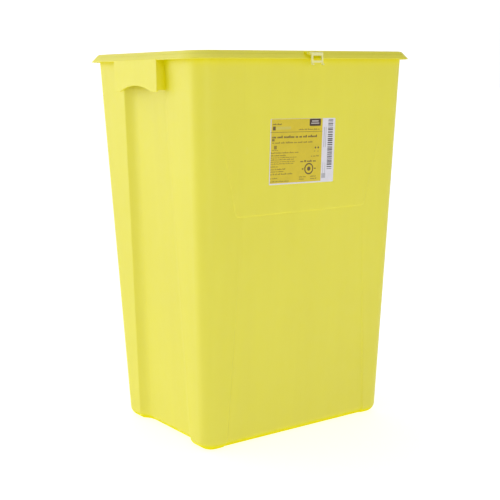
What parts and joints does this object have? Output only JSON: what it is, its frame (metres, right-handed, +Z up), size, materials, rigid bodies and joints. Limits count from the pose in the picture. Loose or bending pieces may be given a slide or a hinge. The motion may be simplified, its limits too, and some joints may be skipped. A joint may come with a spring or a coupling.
{
  "type": "sharps container",
  "caption": "Tall tapered plastic sharps and clinical-waste container with flared rim, hanging hand grips, gasketed hinged lid, front latch and label.",
  "frame": {"origin": "middle of the flat underside of the base", "axes": "+Z up; the front with the label and latch faces -Y, the lid hinges along the +Y side, and the grips are on -X and +X"},
  "size_m": [0.465, 0.3932, 0.66],
  "materials": {
    "container_plastic": "fine satin moulded polyethylene",
    "lid_plastic": "fine satin moulded polyethylene",
    "gasket_foam": "closed-cell foam",
    "pin_plastic": "natural moulded",
    "latch_plastic": "satin moulded",
    "label_film": "printed film",
    "pad_fibre": "absorbent non-woven"
  },
  "bodies": {
    "container": {"container_body": "container_plastic", "hinge_pin_left": "pin_plastic", "hinge_pin_right": "pin_plastic", "front_label": "label_film", "absorbent_pad": "pad_fibre"},
    "lid": {"lid": "lid_plastic", "lid_gasket": "gasket_foam"},
    "latch": {"front_latch": "latch_plastic"}
  },
  "joints": [
    {"name": "lid_hinge", "type": "hinge", "parent": "container", "child": "lid", "pos_m": [0, 0.191, 0.6535], "axis": [-1, 0, 0], "range_deg": [0, 110]},
    {"name": "latch_hinge", "type": "hinge", "parent": "lid", "child": "latch", "pos_m": [0, -0.1846, 0.6554], "axis": [-1, 0, 0], "range_deg": [0, 120]}
  ]
}
